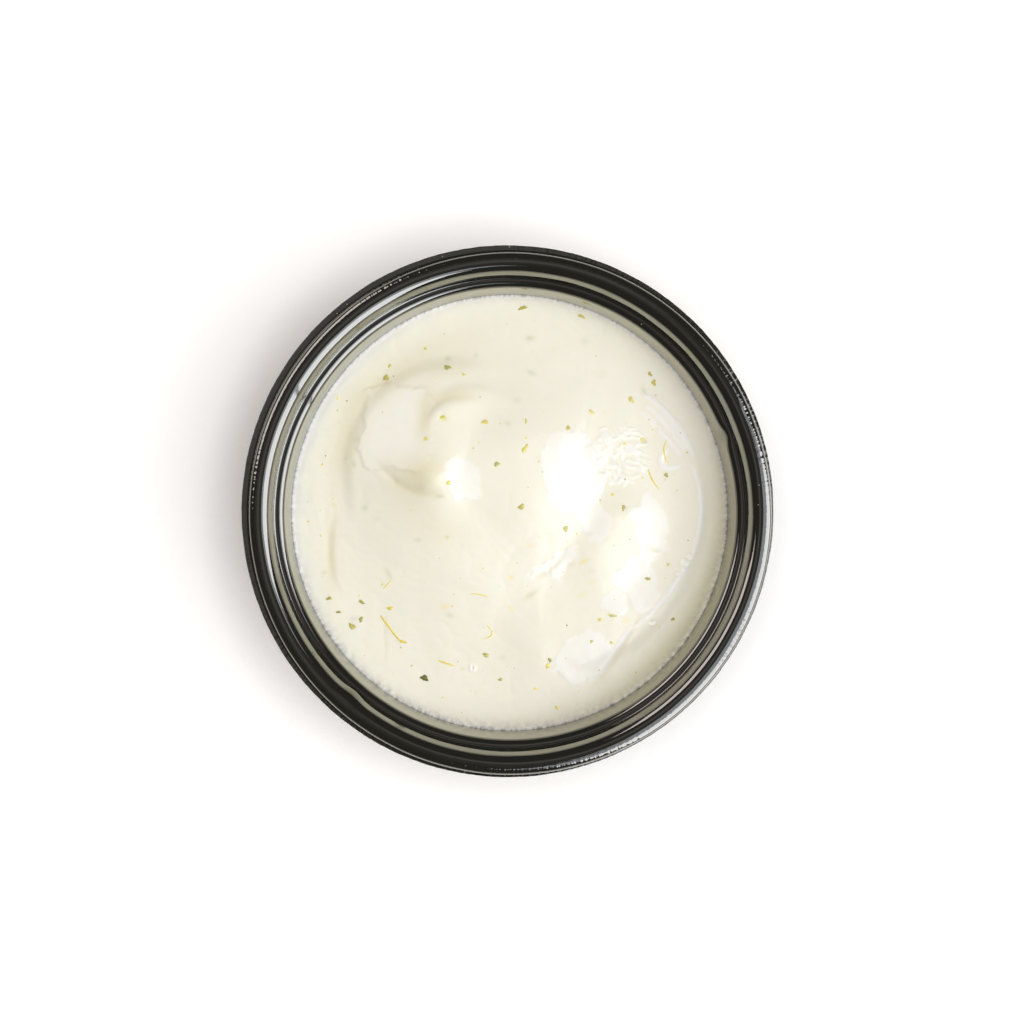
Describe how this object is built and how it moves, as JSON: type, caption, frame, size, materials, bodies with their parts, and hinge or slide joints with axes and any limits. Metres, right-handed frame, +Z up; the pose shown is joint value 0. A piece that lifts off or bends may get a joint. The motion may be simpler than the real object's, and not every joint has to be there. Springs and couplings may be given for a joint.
{
  "type": "bowl of yogurt ranch dip",
  "caption": "Round black plastic dip bowl with a beaded rim and a stacking ledge, filled with a mound of pale cream yogurt dip flecked with green herbs.",
  "frame": {"origin": "on the bowl's axis, at the face that it stands on", "axes": "+Z up along the bowl's axis, +Y away from the viewer (the top of the picture), +X to the viewer's right"},
  "size_m": [0.095, 0.095, 0.042],
  "materials": {
    "black_plastic": "glossy black moulded polypropylene",
    "yogurt_dip": "wet cream yogurt dip with a soft gloss",
    "green_herb": "dark green dried herb flakes, wet",
    "yellow_zest": "yellow-orange shreds and specks of spice"
  },
  "bodies": {
    "root": {"bowl": "black_plastic", "dip": "yogurt_dip"}
  },
  "joints": []
}
